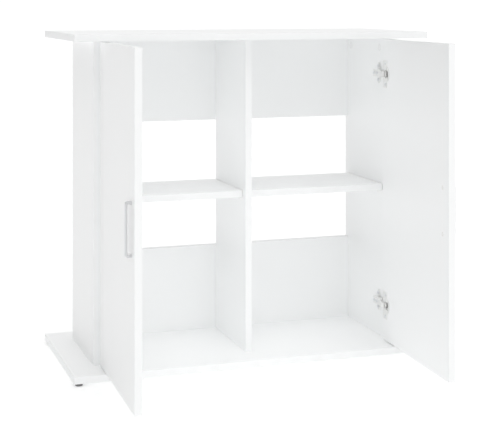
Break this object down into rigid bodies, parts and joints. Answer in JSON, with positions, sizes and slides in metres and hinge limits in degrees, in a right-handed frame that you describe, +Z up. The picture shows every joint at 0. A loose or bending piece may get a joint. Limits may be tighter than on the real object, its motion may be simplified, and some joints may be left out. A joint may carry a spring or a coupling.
{
  "type": "aquarium stand cabinet",
  "caption": "Low cabinet stand for an aquarium: wide top and base plates, divider, shelves, windowed back, and a pair of doors on concealed cup hinges.",
  "frame": {"origin": "on the floor, under the middle of the top and base plates", "axes": "+Z up, +X to the right of a person facing the doors, +Y towards the back; the doors face -Y"},
  "size_m": [0.81, 0.6431, 0.73],
  "materials": {
    "white_board": "white melamine on particle board, fine satin grain, edges banded in the same white",
    "handle_metal": "brushed along the bar, satin",
    "nickel_steel": "nickel plated stamped steel",
    "zinc_steel": "bright zinc plated",
    "zinc_alloy": "die cast zinc, matt",
    "foot_plastic": "dark moulded plastic, matt",
    "cover_plastic": "white plastic cover cap",
    "white_enamel": "white enamelled screw head",
    "birch_dowel": "fluted birch dowel"
  },
  "bodies": {
    "carcass": {"top_panel": "white_board", "base_panel": "white_board", "left_side_panel": "white_board", "right_side_panel": "white_board", "centre_divider": "white_board", "upper_back": "white_board", "lower_back": "white_board", "shelf_left": "white_board", "shelf_right": "white_board", "shelf_pins": "zinc_steel", "dowels": "birch_dowel", "cam_locks": "zinc_alloy", "cam_bolts": "zinc_alloy", "cam_covers": "cover_plastic", "base_screws": "zinc_steel", "feet": "foot_plastic", "foot_nails": "zinc_steel", "left_hinge_plates": "nickel_steel", "left_plate_screws": "zinc_steel", "left_hinge_arms": "nickel_steel", "left_arm_screws": "zinc_steel", "left_arm_pins": "zinc_steel", "right_hinge_plates": "nickel_steel", "right_plate_screws": "zinc_steel", "right_hinge_arms": "nickel_steel", "right_arm_screws": "zinc_steel", "right_arm_pins": "zinc_steel"},
    "left_link": {"left_hinge_links": "nickel_steel"},
    "right_link": {"right_hinge_links": "nickel_steel"},
    "left_door": {"left_door": "white_board", "left_handle": "handle_metal", "left_handle_screws": "white_enamel", "left_hinge_cups": "nickel_steel", "left_cup_screws": "zinc_steel", "left_cup_pins": "zinc_steel"},
    "right_door": {"right_door": "white_board", "right_handle": "handle_metal", "right_handle_screws": "white_enamel", "right_hinge_cups": "nickel_steel", "right_cup_screws": "zinc_steel", "right_cup_pins": "zinc_steel"}
  },
  "joints": [
    {"name": "left_link_pivot", "type": "hinge", "parent": "carcass", "child": "left_link", "pos_m": [-0.32125, -0.11025, 0.368], "axis": [0, 0, 1], "range_deg": [-58.57, 8.81]},
    {"name": "left_door_swing", "type": "hinge", "parent": "left_link", "child": "left_door", "pos_m": [-0.32573, -0.12658, 0.368], "axis": [0, 0, 1], "range_deg": [-22.11, 149.87]},
    {"name": "right_link_pivot", "type": "hinge", "parent": "carcass", "child": "right_link", "pos_m": [0.32125, -0.11025, 0.368], "axis": [0, 0, -1], "range_deg": [-56.02, 11.36]},
    {"name": "right_door_swing", "type": "hinge", "parent": "right_link", "child": "right_door", "pos_m": [0.32645, -0.12636, 0.368], "axis": [0, 0, -1], "range_deg": [-28.66, 143.32]}
  ],
  "couplings": [
    {"joint": "left_link_pivot", "follows": "left_door_swing", "ratio": -0.38947},
    {"joint": "right_link_pivot", "follows": "right_door_swing", "ratio": -0.38947}
  ]
}
